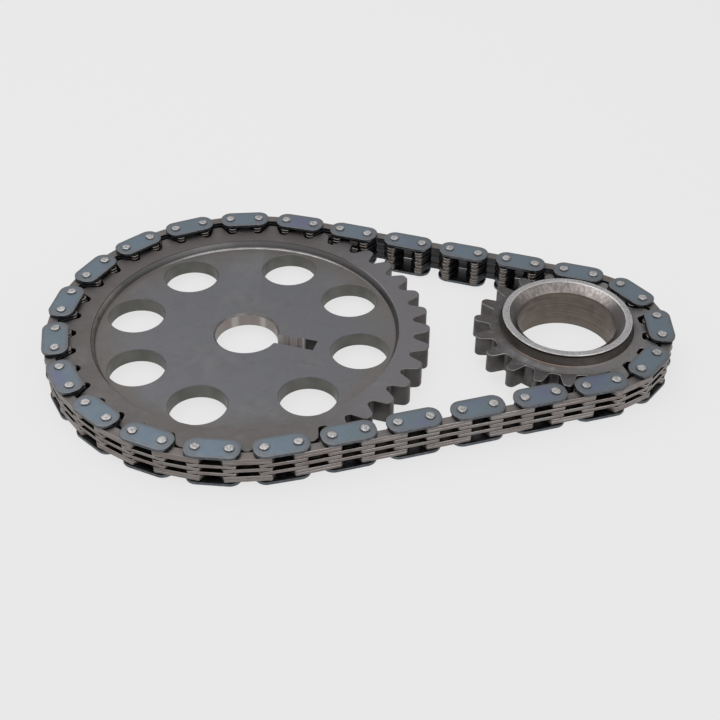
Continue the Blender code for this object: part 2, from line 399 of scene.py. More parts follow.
def oiled_steel(name, dark, pale, patch, rough, stretch=(1, 1, 1)):
    """Steel in two tones of soft patches under a film of oil, with a fine grain."""
    s = Shader(name)
    s.colour(s.patches(dark, pale, (patch, 4, 0.6, stretch), SOFT_CUT))
    s.roughness(rough, (patch / 2, 3))
    s.bump(s.noise(0.4, 3, 0.6, stretch), 0.02)
    return s.material


def guide_plate_steel():
    """Blued plate: blue between the pins, greyer at its ends and edges, with tints and rings of oil and
    painted shade round the pins.
    """
    blue, violet = (0.134, 0.170, 0.204), (0.134, 0.146, 0.208)
    teal, green = (0.128, 0.164, 0.182), (0.105, 0.145, 0.130)
    end_grey, edge_grey, oil = (0.140, 0.157, 0.178), (0.134, 0.141, 0.150), (0.070, 0.074, 0.080)
    paler_tint, scratched = (0.200, 0.214, 0.226), (0.240, 0.250, 0.258)
    s = Shader("guide_plate_steel")
    along, across = (s.maths("ABSOLUTE", s.attribute(name)) for name in ("along", "across"))
    wander = s.spread(s.noise(2.4, 4, 0.6), *CLOUD, -1, 1)
    tint = s.patches(blue, violet, (30, 1), (0.54, 0.66))
    tint = s.patches(tint, teal, (21, 1), (0.52, 0.66), 0.8)
    tint = s.mix(s.spread(s.maths("ADD", along, wander), *BLUE_MIDDLE), end_grey, tint)
    corner_x = s.maths("MAXIMUM", s.maths("SUBTRACT", along, PITCH / 2 + GUIDE_END - GUIDE_CORNER), 0.0)
    corner_y = s.maths("MAXIMUM", s.maths("SUBTRACT", across, GUIDE_WIDTH / 2 - GUIDE_CORNER), 0.0)
    from_edge = s.maths("SUBTRACT", GUIDE_CORNER, s.length(corner_x, corner_y))
    from_edge = s.maths("ADD", from_edge, s.maths("MULTIPLY", wander, BORDER_WANDER))
    tint = s.mix(s.spread(from_edge, *GREY_BORDER), tint, edge_grey)
    spots = s.spread(s.noise(3.4, 3), 0.58, 0.7)
    on_some_links = s.spread(s.noise(38, 1), 0.55, 0.64, 0, 0.6)
    tint = s.mix(s.maths("MULTIPLY", spots, on_some_links), tint, green)
    # Paler patches worn by rubbing
    tint = s.patches(tint, paler_tint, (1.1, 4, 0.65), (0.56, 0.8), 0.4)
    tint = s.mix(s.scratches(0.2, 0.5, 0.35), tint, scratched)
    # Ring of oil and painted shade round each rivet head, darkest next to the pin
    from_pin = s.length(s.maths("SUBTRACT", along, PITCH / 2), across)
    from_pin = s.maths("ADD", from_pin, s.maths("MULTIPLY", wander, RING_WANDER))
    s.colour(s.mix(s.spread(from_pin, *OIL_AND_SHADE_RING, 0, 0.5), tint, oil))
    s.roughness((0.40, 0.54), (3.2, 5, 0.6))
    s.bump(s.noise(0.5, 3, 0.6), 0.012)
    return s.material


def rivet_steel():
    """Peened pin ends: bare, dented steel."""
    s = Shader("rivet_steel")
    s.colour(s.patches((0.27, 0.265, 0.265), (0.47, 0.46, 0.455), (0.8, 3), (0.35, 0.65)))
    s.roughness((0.40, 0.54), (0.8, 2))
    s.bump(s.noise(0.9, 2, 0.5), 0.10)
    return s.material


def lamination_steel(name, dark, pale, patch, tip):
    """Toothed plates: each layer its own brown or grey, smooth and oily, with oil and painted shade between
    the teeth and a painted tone at the tips.
    """
    oil = (0.055, 0.058, 0.064)
    s = Shader(name)
    tint = s.patches(dark, pale, (0.9, 1, 0.5, (26, 26, 1)), STRIPE_CUT)
    tint = s.patches(tint, patch, (7, 3), (0.5, 0.72), 0.6)
    across = s.attribute("across")
    # Oil and painted shade between the teeth, where the crotch and toes lie in shadow
    between_teeth = s.maths("MULTIPLY", s.spread(across, *CROTCH_SHADE), s.spread(across, *TOE_SHADE))
    tint = s.mix(between_teeth, tint, oil)
    # Painted tone at the tooth tips: painted shade on the faces, a painted highlight on the chamfers
    s.colour(s.mix(s.spread(across, *TIP_SHADE), tint, tip))
    s.roughness((0.34, 0.50), (2.5, 3))
    s.bump(s.noise(0.6, 3, 0.6), 0.012)
    return s.material


def web_steel():
    """Sintered steel: brown rim, cooler grey web, soft smears, pores and a few scratches."""
    web_grey, web_brown = (0.135, 0.136, 0.146), (0.138, 0.129, 0.124)
    rim_left, rim_right = (0.116, 0.106, 0.103), (0.148, 0.143, 0.151)
    pale_smear, dark_smear = (0.172, 0.170, 0.172), (0.105, 0.101, 0.100)
    pore, scratched = (0.080, 0.076, 0.074), (0.235, 0.234, 0.234)
    s = Shader("web_steel")
    from_axis = s.radius_from(CAM_AT)
    wander = s.spread(s.noise(24, 2), 0.2, 0.8, -BROWN_WANDER, BROWN_WANDER)
    foot = RECESS_RADIUS - RECESS_SLOPE
    near_foot = s.spread(s.maths("ADD", from_axis, wander), foot - BROWN_WIDTH, foot)
    tint = s.mix(near_foot, web_grey, web_brown)
    rim = s.mix(s.spread(s.right_of(CAM_AT), *RIM_FADE), rim_left, rim_right)
    tint = s.mix(s.spread(from_axis, foot, RECESS_RADIUS), tint, rim)
    tint = s.patches(tint, pale_smear, (13, 4, 0.6), (0.50, 0.76), 0.4)
    tint = s.patches(tint, dark_smear, (6, 4, 0.6), (0.54, 0.78), 0.45)
    tint = s.patches(tint, pore, (0.9, 2, 0.5), (0.70, 0.80), 0.7)
    for turn in (0.35, 1.9):
        tint = s.mix(s.scratches(0.22, turn, 0.4), tint, scratched)
    s.colour(tint)
    s.roughness((0.42, 0.58), (7, 5, 0.6))
    s.bump(s.noise(0.45, 4, 0.7), 0.018)
    return s.material


def fading_steel(name, dark, pale, far, fade, both_sides=False):
    """Steel in soft patches that fades into another tint along +X, or both ways from the cam's axis."""
    s = Shader(name)
    near = s.patches(dark, pale, (8, 4, 0.6), SOFT_CUT)
    aside = s.right_of(CAM_AT)
    if both_sides:
        aside = s.maths("ABSOLUTE", aside)
    s.colour(s.mix(s.spread(aside, *fade), near, far))
    s.roughness((0.34, 0.48), (4.5, 3))
    s.bump(s.noise(0.4, 3, 0.6), 0.02)
    return s.material


def crank_bore_steel():
    """Bored wall of the hub: brown, with faint rings left by the tool."""
    dark_ring, pale_ring, stain = (0.140, 0.118, 0.100), (0.190, 0.162, 0.140), (0.115, 0.096, 0.080)
    s = Shader("crank_bore_steel")
    rings = s.noise(0.5, 2, 0.5, (50, 50, 1))
    tint = s.mix(s.spread(rings, 0.34, 0.68), dark_ring, pale_ring)
    s.colour(s.patches(tint, stain, (6, 3), (0.52, 0.75), 0.5))
    s.roughness((0.34, 0.48), (4, 3))
    s.bump(rings, 0.012)
    return s.material


def cam_bore_steel():
    """Bored wall of the web: brown, with two broad pale bands of painted reflection on each side of the
    middle.
    """
    brown, paler_tint = (0.270, 0.237, 0.224), (0.500, 0.468, 0.456)
    s = Shader("cam_bore_steel")
    aside = s.maths("ABSOLUTE", s.right_of(CAM_AT))
    # Painted reflection: two pale upright bands on each side of the bore's middle
    band = s.maths("MULTIPLY", s.spread(aside, *REFLECTION_BAND_INNER), s.spread(aside, *REFLECTION_BAND_OUTER))
    streak = s.spread(s.noise(3.5, 3, 0.55, (1, 1, 8)), *CLOUD, 0.55, 1.0)
    s.colour(s.mix(s.maths("MULTIPLY", band, streak), brown, paler_tint))
    s.roughness((0.34, 0.46), (4, 3))
    s.bump(s.noise(0.4, 3, 0.6), 0.012)
    return s.material


def milled_steel():
    """Slot's walls: brown with upright stripes, grey at the bore, with a painted highlight just before a
    painted shade at their end.
    """
    dark_stripe, pale_stripe, grey = (0.215, 0.194, 0.187), (0.470, 0.434, 0.423), (0.385, 0.375, 0.360)
    lit_edge, end_shade = (0.640, 0.590, 0.600), (0.030, 0.028, 0.028)
    s = Shader("milled_steel", metallic=0.15)
    tint = s.patches(dark_stripe, pale_stripe, (0.55, 1, 0.5, (1, 60, 60), SLOT_TURN), STRIPE_CUT)
    from_axis = s.radius_from(CAM_AT)
    tint = s.mix(s.spread(from_axis, *SLOT_GREY), grey, tint)
    # Painted highlight on the wall just before its end, then painted shade at the end
    lit = s.maths("MULTIPLY", s.spread(from_axis, *SLOT_LIT_START), s.spread(from_axis, *SLOT_LIT_END))
    tint = s.mix(lit, tint, lit_edge)
    s.colour(s.mix(s.spread(from_axis, *SLOT_SHADE), tint, end_shade))
    s.roughness((0.36, 0.5), (1.5, 3))
    s.bump(s.noise(0.3, 3, 0.6), 0.012)
    return s.material


def hub_mouth_steel():
    """Wide mouth of the hub: brown with upright streaks, painted paler at the back as a reflection and
    darker at the front as shade.
    """
    front, dark_streak, pale_streak = (0.088, 0.081, 0.079), (0.205, 0.182, 0.172), (0.315, 0.290, 0.278)
    s = Shader("hub_mouth_steel")
    tint = s.patches(dark_streak, pale_streak, (1.3, 3, 0.55, (1, 1, 5)), SOFT_CUT)
    # Painted shade at the front of the mouth, painted reflection at the back
    s.colour(s.mix(s.spread(s.behind(CRANK_AT), *MOUTH_LIGHT_FADE), front, tint))
    s.roughness((0.28, 0.42), (2, 3))
    s.bump(s.noise(0.5, 3, 0.6), 0.012)
    return s.material


def crank_face_steel():
    """Brown-grey tooth faces with a thin coppery painted highlight along the front of the hub's foot."""
    left_brown, left_grey, right = (0.076, 0.069, 0.066), (0.085, 0.082, 0.083), (0.190, 0.182, 0.181)
    pale_fleck, dark_fleck, copper = (0.190, 0.182, 0.178), (0.074, 0.069, 0.068), (0.40, 0.25, 0.19)
    s = Shader("crank_face_steel")
    left = s.patches(left_brown, left_grey, (9, 3), (0.38, 0.62))
    tint = s.mix(s.spread(s.right_of(CRANK_AT), *FACE_FADE), left, right)
    tint = s.patches(tint, pale_fleck, (2.2, 5, 0.68), (0.52, 0.74), 0.5)
    tint = s.patches(tint, dark_fleck, (1.2, 4, 0.6), (0.55, 0.75), 0.5)
    hub_foot = HUB_RADIUS + HUB_FLARE
    line = s.spread(s.radius_from(CRANK_AT), hub_foot + COPPER_WIDTH, hub_foot)
    front = s.spread(s.behind(CRANK_AT), *COPPER_FRONT)
    # Painted highlight along the crease at the hub's foot, at the front only
    front_highlight = s.maths("MULTIPLY", front, s.spread(s.noise(10, 2), 0.36, 0.6, 0.25, 0.75))
    s.colour(s.mix(s.maths("MULTIPLY", line, front_highlight), tint, copper))
    s.roughness((0.40, 0.56), (5, 5, 0.6))
    s.bump(s.noise(0.5, 4, 0.7), 0.02)
    return s.material


def worn_steel():
    """Flat rim of the hub: bare grey metal, finely speckled."""
    dark, pale, stain = (0.28, 0.272, 0.274), (0.43, 0.424, 0.426), (0.24, 0.225, 0.22)
    s = Shader("worn_steel")
    tint = s.patches(dark, pale, (0.8, 4, 0.65), SOFT_CUT)
    s.colour(s.patches(tint, stain, (3, 3), (0.55, 0.75), 0.5))
    s.roughness((0.38, 0.54), (2.2, 4))
    s.bump(s.noise(0.5, 3, 0.6), 0.015)
    return s.material


# Outlines

def rounded(corners, steps=ARC_STEPS):
    """An outline of (x, y, radius) corners with each corner turned into an arc."""
    points = []
    for i, (x, y, radius) in enumerate(corners):
        here = Vector((x, y))
        back = (Vector(corners[i - 1][:2]) - here).normalized()
        ahead = (Vector(corners[(i + 1) % len(corners)][:2]) - here).normalized()
        half = back.angle(ahead) / 2
        centre = here + (back + ahead).normalized() * (radius / math.sin(half))
        start = here + back * (radius / math.tan(half)) - centre
        end = here + ahead * (radius / math.tan(half)) - centre
        first = math.atan2(start.y, start.x)
        sweep = math.remainder(math.atan2(end.y, end.x) - first, 2 * math.pi)
        for step in range(steps + 1):
            turn = first + sweep * step / steps
            points.append((centre.x + radius * math.cos(turn), centre.y + radius * math.sin(turn)))
    return points


def inset(outline, distance):
    """An anticlockwise outline moved inwards."""
    moved = []
    for i, (x, y) in enumerate(outline):
        before, after = Vector(outline[i - 1]), Vector(outline[(i + 1) % len(outline)])
        first, second = (Vector((x, y)) - before).normalized(), (after - Vector((x, y))).normalized()
        turn = Vector((-first.y - second.y, first.x + second.x)) / (1 + first.dot(second))
        moved.append((x + turn.x * distance, y + turn.y * distance))
    return moved


def turns_of(sides):
    return [2 * math.pi * i / sides for i in range(sides)]


def circle(x, y, radius, sides):
    return [(x + radius * math.cos(a), y + radius * math.sin(a)) for a in turns_of(sides)]


def mirrored(half, middle):
    """A full anticlockwise outline from the corners of its right half, given from top to bottom."""
    right = [(middle + x, y, r) for x, y, r in half]
    left = [(middle - x, y, r) for x, y, r in reversed(half)]
    return list(reversed(right + left))


def toothed_plate_outline():
    """A plate with two rounded inward teeth, from the pin at x = 0 to the pin at x = PITCH."""
    reach = PITCH / 2 + PLATE_END
    toe = reach - TOE_DEPTH * math.tan(FLANK_ANGLE)
    half = [
        (PITCH / 2 + PLATE_SHOULDER, PLATE_BACK, BACK_ROUND),
        (reach, 0, END_ROUND),
        (toe, -TOE_DEPTH, TOE_ROUND),
        (toe - TOE_WIDTH, -TOE_DEPTH, TOE_ROUND),
        (CROTCH_WIDTH / 2, CROTCH_RISE, CROTCH_ROUND),
    ]
    return rounded(mirrored(half, PITCH / 2))


def guide_plate_outline():
    half_length = PITCH / 2 + GUIDE_END
    half = [(half_length, GUIDE_WIDTH / 2, GUIDE_CORNER), (half_length, -GUIDE_WIDTH / 2, GUIDE_CORNER)]
    return rounded(mirrored(half, PITCH / 2), GUIDE_ARC_STEPS)


def wheel_outline(teeth, pitch_radius, tip_drop, root_play, tip_round, root_round):
    """Straight-flanked teeth with round tips and roots, the first tooth on the +X axis."""
    step = 2 * math.pi / teeth
    pitch_line = pitch_radius * math.cos(step / 2)
    reach = PITCH / 2 + PLATE_END
    flank = FLANK_ANGLE - step
    beside = pitch_line * math.sin(step) - reach * math.cos(step) - TOOTH_PLAY / math.cos(flank)
    out = pitch_line * math.cos(step) + reach * math.sin(step)
    tip, root = pitch_line - tip_drop, pitch_line - TOE_DEPTH - root_play
    tip_half, root_half = (beside + (out - r) * math.tan(flank) for r in (tip, root))
    tooth = [(root, -root_half, root_round), (tip, -tip_half, tip_round),
             (tip, tip_half, tip_round), (root, root_half, root_round)]
    corners = []
    for i in range(teeth):
        c, s = math.cos(i * step), math.sin(i * step)
        corners += [(x * c - y * s, x * s + y * c, r) for x, y, r in tooth]
    return rounded(corners)


# Solids

def ring(shape, outline, z):
    return [shape.verts.new((x, y, z)) for x, y in outline]


def wall(shape, low, high, slot, outward=True):
    for i in range(len(low)):
        j = (i + 1) % len(low)
        quad = (low[i], low[j], high[j], high[i])
        face = shape.faces.new(quad if outward else quad[::-1])
        face.material_index = slot
        face.smooth = True


def cap(shape, loops, slot, up):
    """A flat face between an outer loop and any holes."""
    corners = [v for loop in loops for v in loop]
    for triangle in tessellate_polygon([[v.co for v in loop] for loop in loops]):
        face = shape.faces.new([corners[i] for i in triangle])
        face.normal_update()
        if (face.normal.z > 0) != up:
            face.normal_flip()
        face.material_index = slot


def slab(shape, levels, slots, cap_slots, holes=(), hole_slot=0):
    """A closed plate through (outline, height) levels, with holes given as levels too."""
    rings = [ring(shape, outline, z) for outline, z in levels]
    for low, high, slot in zip(rings, rings[1:], slots):
        wall(shape, low, high, slot)
    hole_rings = [[ring(shape, outline, z) for outline, z in hole] for hole in holes]
    for rows in hole_rings:
        for low, high in zip(rows, rows[1:]):
            wall(shape, low, high, hole_slot, outward=False)
    for end, slot in zip((0, -1), cap_slots):
        cap(shape, [rings[end]] + [rows[end] for rows in hole_rings], slot, up=end != 0)


def edged(outline, low, high, edge):
    """The levels of a plate whose two rims are broken by a small chamfer."""
    small = inset(outline, edge)
    return [(small, low), (outline, low + edge), (outline, high - edge), (small, high)]


def softened(outline, low, high, edge):
    """The levels of a plate whose two rims are rounded."""
    lower = []
    upper = []
    for i in range(ROLL_STEPS + 1):
        turn = math.pi / 2 * i / ROLL_STEPS
        line = inset(outline, edge * (1 - math.sin(turn)))
        rise = edge * (1 - math.cos(turn))
        lower.append((line, low + rise))
        upper.insert(0, (line, high - rise))
    return lower + upper


def turned(shape, profile, x, y, slots, sides):
    """A closed solid turned from (radius, height) points, lowest first, with a slot for each band."""
    rows = [ring(shape, circle(x, y, radius, sides), z) for radius, z in profile]
    bands = slots or [0] * (len(rows) - 1)
    for low, high, slot in zip(rows, rows[1:], bands):
        wall(shape, low, high, slot)
    shape.faces.new(list(reversed(rows[0])))
    shape.faces.new(rows[-1])


def moved_to(point):
    """Puts a shape's upright axis through a point, at the same height."""
    return Matrix.Translation((point.x, point.y, 0))


def as_object(name, shape, materials, place):
    """A bmesh in millimetres, placed in the frame, as an object in metres."""
    mesh = bpy.data.meshes.new(name)
    shape.to_mesh(mesh)
    shape.free()
    mesh.transform(Matrix.Scale(MM, 4) @ place)
    for material in materials:
        mesh.materials.append(material)
    thing = bpy.data.objects.new(name, mesh)
    bpy.context.scene.collection.objects.link(thing)
    return thing


def boolean(body, tool, operation):
    """Joins a tool to a body, or cuts it away, and removes the tool. Cut faces keep the tool's material."""
    step = body.modifiers.new("boolean", "BOOLEAN")
    step.operation = operation
    step.solver = "EXACT"
    step.material_mode = "TRANSFER"
    step.object = tool
    mesh = bpy.data.meshes.new_from_object(body.evaluated_get(bpy.context.evaluated_depsgraph_get()))
    body.modifiers.clear()
    body.data = mesh
    bpy.data.objects.remove(tool)


def stand_for(piece, node):
    """The piece shows in place of a CAD node and moves with its body."""
    piece.data.set_sharp_from_angle(angle=SHARP_EDGE)
    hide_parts(node)
    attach(piece, BODY_OF[node])


# Links

# Where a link's materials stand in its list
GUIDE, GUIDE_RIM, GUIDE_BACK, RIVET, TOOTHED, TOOTHED_RIM, OPEN_FACE, HIDDEN_FACE = range(8)


def lamination(shape, low, high, face_slots, hole_radius, chance):
    """One stamped plate, a little out of line with its neighbours."""
    levels = edged(toothed_plate_outline(), low, high, PLATE_EDGE)
    holes = [[(circle(x, 0, hole_radius, PIN_SIDES), z) for z in (low, high)] for x in (0, PITCH)]
    first = len(shape.verts)
    slab(shape, levels, (TOOTHED_RIM, TOOTHED, TOOTHED_RIM), face_slots, holes, TOOTHED)
    shape.verts.ensure_lookup_table()
    slip = Matrix.Translation((chance.gauss(0, PLATE_SLIP), chance.gauss(0, PLATE_SLIP), 0))
    tilt = Matrix.Rotation(chance.gauss(0, PLATE_TILT), 4, "Z")
    for vertex in shape.verts[first:]:
        vertex.co = slip @ tilt @ vertex.co


def stack(shape, span, count, hole_radius, chance):
    """Plates side by side; only the chain's two outer faces are open, the others stay dark with oil and
    painted shade.
    """
    thickness = (span[1] - span[0]) / count
    for i in range(count):
        low = span[0] + i * thickness
        below = OPEN_FACE if span is STACKS[0] and i == 0 else HIDDEN_FACE
        above = OPEN_FACE if span is STACKS[-1] and i == count - 1 else HIDDEN_FACE
        lamination(shape, low + LAMINATION_GAP, low + thickness - LAMINATION_GAP, (below, above),
                   hole_radius, chance)


def guide_plate(shape, low, high, face_slots):
    """A stamped plate with rolled edges and a countersunk hole over each pin."""
    outline = guide_plate_outline()
    flat = inset(outline, GUIDE_EDGE + GUIDE_ROLL_WIDTH)
    rim = softened(outline, low + GUIDE_ROLL, high - GUIDE_ROLL, GUIDE_EDGE)
    tight, wide = PIN_RADIUS + PIN_PRESS, PIN_RADIUS + COUNTERSINK
    steps = [(wide, low), (tight, low + COUNTERSINK), (tight, high - COUNTERSINK), (wide, high)]
    holes = [[(circle(x, 0, r, PIN_SIDES), z) for r, z in steps] for x in (0, PITCH)]
    slots = [face_slots[0]] + [GUIDE_RIM] * (len(rim) - 1) + [face_slots[1]]
    slab(shape, [(flat, low)] + rim + [(flat, high)], slots, face_slots, holes, GUIDE_RIM)


def rivet_pin(shape, x, chance):
    """A pin through the whole link, peened over at both ends into lobed, dented heads."""
    rows = []
    for side in (-1, 1):
        lobes = []
        for count in HEAD_LOBES:
            lobes.append((count, chance.uniform(0, 2 * math.pi), chance.gauss(0, HEAD_LOBE_SHARE)))
        lean, lean_turn = abs(chance.gauss(0, HEAD_LEAN)), chance.uniform(0, 2 * math.pi)
        rings = []
        for radius, rise in HEAD_PROFILE:
            points = []
            for a in turns_of(PIN_SIDES):
                lobe = sum(share * math.cos(count * a + start) for count, start, share in lobes)
                reach = radius * (1 + lobe) if radius > PIN_RADIUS else radius
                height = rise
                if rise > RIVET_HEAD / 2:
                    height -= abs(chance.gauss(0, HEAD_DENT)) + lean * reach * (1 + math.cos(a - lean_turn))
                z = LINK_ROOF + GUIDE_PLATE + height if side > 0 else RIVET_HEAD - height
                points.append(shape.verts.new((x + reach * math.cos(a), reach * math.sin(a), z)))
            rings.append(points)
        rows = rings[::-1] + rows if side < 0 else rows + rings
    for low, high in zip(rows, rows[1:]):
        wall(shape, low, high, RIVET)
    shape.faces.new(list(reversed(rows[0]))).material_index = RIVET
    shape.faces.new(rows[-1]).material_index = RIVET


def guide_link(shape, chance):
    """Two guide plates and two stacks of toothed plates on two riveted pins."""
    guide_plate(shape, RIVET_HEAD, LINK_FLOOR, (GUIDE, GUIDE_BACK))
    guide_plate(shape, LINK_ROOF, LINK_ROOF + GUIDE_PLATE, (GUIDE_BACK, GUIDE))
    for x in (0, PITCH):
        rivet_pin(shape, x, chance)
    for span in (STACKS[1], STACKS[3]):
        stack(shape, span, INNER_PLATES, PIN_RADIUS + PIN_PRESS, chance)


def inner_link(shape, chance):
    """Three stacks of toothed plates that turn on their neighbours' pins."""
    for span, count in ((STACKS[0], OUTER_PLATES), (STACKS[2], INNER_PLATES), (STACKS[4], OUTER_PLATES)):
        stack(shape, span, count, PIN_RADIUS + PIN_PLAY, chance)


def on_circle(centre, radius, turn):
    return Vector((centre.x + radius * math.cos(turn), centre.y + radius * math.sin(turn)))


def between(start, end):
    """The pins of a straight run, without its two ends."""
    return [start.lerp(end, i / RUN_LINKS) for i in range(1, RUN_LINKS)]


def chain_pins():
    """Pin centres clockwise from the cam sprocket's far side."""
    cam_turns = [CAM_EXIT + (CAM_EXIT_PIN - i) * CAM_STEP for i in range(CAM_EXIT_PIN + 1)]
    crank_turns = [CRANK_ENTRY - i * CRANK_STEP for i in range(CRANK_WRAP_LINKS + 1)]
    pins = [on_circle(CAM_AT, CAM_RADIUS, turn) for turn in cam_turns]
    entry = [on_circle(CRANK_AT, CRANK_RADIUS, turn) for turn in crank_turns]
    pins += between(pins[-1], entry[0]) + entry
    pins += between(entry[-1], on_circle(CAM_AT, CAM_RADIUS, -CAM_EXIT))
    still_to_go = LINKS - len(pins)
    return pins + [on_circle(CAM_AT, CAM_RADIUS, -CAM_EXIT - i * CAM_STEP) for i in range(still_to_go)]


def make_chain():
    materials = [
        guide_plate_steel(),
        oiled_steel("guide_rim_steel", (0.090, 0.098, 0.110), (0.140, 0.150, 0.162), 1.6, (0.34, 0.46)),
        # Guide plates' inner faces: very dark, oil and painted shade inside the chain
        oiled_steel("guide_back_steel", (0.030, 0.030, 0.032), (0.058, 0.058, 0.064), 5, (0.42, 0.56)),
        rivet_steel(),
        lamination_steel("lamination_steel", (0.225, 0.193, 0.180), (0.272, 0.250, 0.242),
                         patch=(0.165, 0.134, 0.120), tip=(0.150, 0.130, 0.118)),
        lamination_steel("lamination_edge_steel", (0.290, 0.265, 0.252), (0.400, 0.382, 0.370),
                         patch=(0.240, 0.214, 0.200), tip=(0.370, 0.342, 0.312)),
        oiled_steel("lamination_face_steel", (0.130, 0.115, 0.110), (0.168, 0.156, 0.151), 6, (0.36, 0.5)),
        # Faces between plates: very dark, oil and painted shade for the narrow gaps
        oiled_steel("hidden_face_steel", (0.040, 0.034, 0.031), (0.062, 0.055, 0.051), 6, (0.40, 0.54)),
    ]
    kinds = (("guide", guide_link, "blue_steel"), ("inner", inner_link, "plate_steel"))
    pins = chain_pins()
    for k, pin in enumerate(pins):
        kind, make, slot = kinds[k % 2]
        shape = bmesh.new()
        layers = [shape.verts.layers.float.new(name) for name in ("along", "across")]
        make(shape, random.Random(k))
        for vertex in shape.verts:
            vertex[layers[0]], vertex[layers[1]] = vertex.co.x - PITCH / 2, vertex.co.y
        ahead = pins[(k + 1) % LINKS] - pin
        turn = Matrix.Rotation(math.atan2(ahead.y, ahead.x), 4, "Z")
        place = moved_to(pin) @ turn
        number = k // 2 + 1
        piece = as_object(f"{kind}_laminations_{number:02d}", shape, materials, place)
        stand_for(piece, f"{kind}_link_{number:02d}")


# Sprockets

def cutter(profile, materials, slots=None, x=0.0, y=0.0, sides=ROUND_SIDES, centre=CAM_AT):
    """A turned solid to cut from a sprocket or join to it, x and y from the sprocket's axis."""
    shape = bmesh.new()
    turned(shape, profile, x, y, slots, sides)
    return as_object("cutter", shape, materials, moved_to(centre))


def toothed_wheel(name, outline, low, high, looks, centre):
    """A plate of teeth with broken edges, from the looks of its faces, edges and flanks."""
    face, edge, side = range(3)
    shape = bmesh.new()
    slab(shape, edged(outline, low, high, TOOTH_EDGE), (edge, side, edge), (face, face))
    return as_object(name, shape, looks, moved_to(centre))


def slot_cutter(material, web):
    """A deep milled slot from the bore to the dowel hole, with upright chatter ridges down its sides."""
    start, end = CAM_BORE_RADIUS / 2, DOWEL_REACH + SLOT_WIDTH / 2
    count = round((end - start) / SLOT_RIDGE_STEP)
    far = []
    for i in range(count + 1):
        ridge = SLOT_RIDGE if i % 2 else 0.0
        far.append((start + (end - start) * i / count, SLOT_WIDTH / 2 - ridge))
    outline = [(x, -y) for x, y in far] + far[::-1]
    shape = bmesh.new()
    slab(shape, [(outline, web - SLOT_DEPTH), (outline, CAM_HIGH + OVERCUT)], (0,), (0, 0))
    place = moved_to(CAM_AT) @ Matrix.Rotation(SLOT_TURN, 4, "Z")
    return as_object("cutter", shape, [material], place)


# The looks of a hole's bands: 0 for its wall, 1 for its chamfers
HOLE_BANDS = (1, 0, 1, 1)


def through_hole(radius, low, high, edge):
    """The profile of a hole with a chamfer at both faces."""
    wide = radius + edge + OVERCUT
    return [(wide, low - OVERCUT), (radius, low + edge), (radius, high - edge),
            (wide, high + OVERCUT), (wide, CAM_HIGH + 2 * OVERCUT)]


def recess_profile(web):
    """The dished face: a fillet at its foot, a sloping wall and a broken lip, with a slot for each band."""
    foot = RECESS_RADIUS - RECESS_SLOPE
    profile = []
    for i in range(ARC_STEPS + 1):
        turn = math.pi / 2 * i / ARC_STEPS
        inward, rise = RECESS_FILLET * (1 - math.sin(turn)), RECESS_FILLET * (1 - math.cos(turn))
        profile.append((foot - inward, web + rise))
    lip = RECESS_RADIUS + RECESS_LIP
    profile += [(RECESS_RADIUS, CAM_HIGH - RECESS_LIP), (lip, CAM_HIGH), (lip, CAM_HIGH + OVERCUT)]
    face, fillet, slope, edge = range(4)
    return profile, [fillet] * ARC_STEPS + [slope, edge, face]


def make_cam():
    face = web_steel()
    edge = oiled_steel("cam_edge_steel", (0.138, 0.127, 0.122), (0.195, 0.186, 0.182), 4, (0.38, 0.5))
    side = oiled_steel("cam_tooth_steel", (0.076, 0.069, 0.066), (0.106, 0.101, 0.099), 5, (0.36, 0.5))
    # Pale painted highlight along the recess's foot, fading out aside from the axis
    foot = fading_steel("cam_foot_steel", (0.240, 0.230, 0.226), (0.345, 0.336, 0.330),
                        (0.128, 0.119, 0.114), FOOT_HIGHLIGHT_FADE, both_sides=True)
    dish = fading_steel("cam_dish_steel", (0.270, 0.245, 0.232), (0.330, 0.302, 0.288),
                        (0.125, 0.122, 0.123), DISH_FADE)
    # Dark lip with a pale painted highlight on its right side
    lip = fading_steel("cam_lip_steel", (0.060, 0.055, 0.053), (0.085, 0.079, 0.077),
                       (0.270, 0.264, 0.268), LIP_HIGHLIGHT_FADE)
    hole = oiled_steel("cam_hole_steel", (0.126, 0.125, 0.114), (0.170, 0.168, 0.158), 6, (0.4, 0.55))
    drilled = oiled_steel("dowel_steel", (0.035, 0.033, 0.032), (0.060, 0.056, 0.054), 2, (0.4, 0.5))
    outline = wheel_outline(CAM_TEETH, CAM_RADIUS, CAM_TIP_DROP, CAM_ROOT_PLAY,
                            CAM_TIP_ROUND, CAM_ROOT_ROUND)
    wheel = toothed_wheel("cam_wheel", outline, CAM_LOW, CAM_HIGH, [face, edge, side], CAM_AT)
    web = CAM_HIGH - RECESS_DEPTH
    profile, slots = recess_profile(web)
    boolean(wheel, cutter(profile, [face, foot, dish, lip], slots), "DIFFERENCE")
    bore = through_hole(CAM_BORE_RADIUS, CAM_LOW, web, CAM_BORE_EDGE)
    boolean(wheel, cutter(bore, [cam_bore_steel(), edge], HOLE_BANDS), "DIFFERENCE")
    hole_profile = through_hole(HOLE_RADIUS, CAM_LOW, web, HOLE_EDGE)
    for group in (0, math.pi):
        for place in HOLE_PLACES:
            turn = HOLE_GROUP_TURN + group + place * HOLE_STEP
            x, y = HOLE_CIRCLE * math.cos(turn), HOLE_CIRCLE * math.sin(turn)
            tool = cutter(hole_profile, [hole, face], HOLE_BANDS, x, y, HOLE_SIDES)
            boolean(wheel, tool, "DIFFERENCE")
    boolean(wheel, slot_cutter(milled_steel(), web), "DIFFERENCE")
    x, y = DOWEL_REACH * math.cos(SLOT_TURN), DOWEL_REACH * math.sin(SLOT_TURN)
    dowel = [(DOWEL_RADIUS, CAM_LOW - OVERCUT), (DOWEL_RADIUS, CAM_HIGH + OVERCUT)]
    boolean(wheel, cutter(dowel, [drilled], None, x, y, HOLE_SIDES), "DIFFERENCE")
    stand_for(wheel, "cam_sprocket")


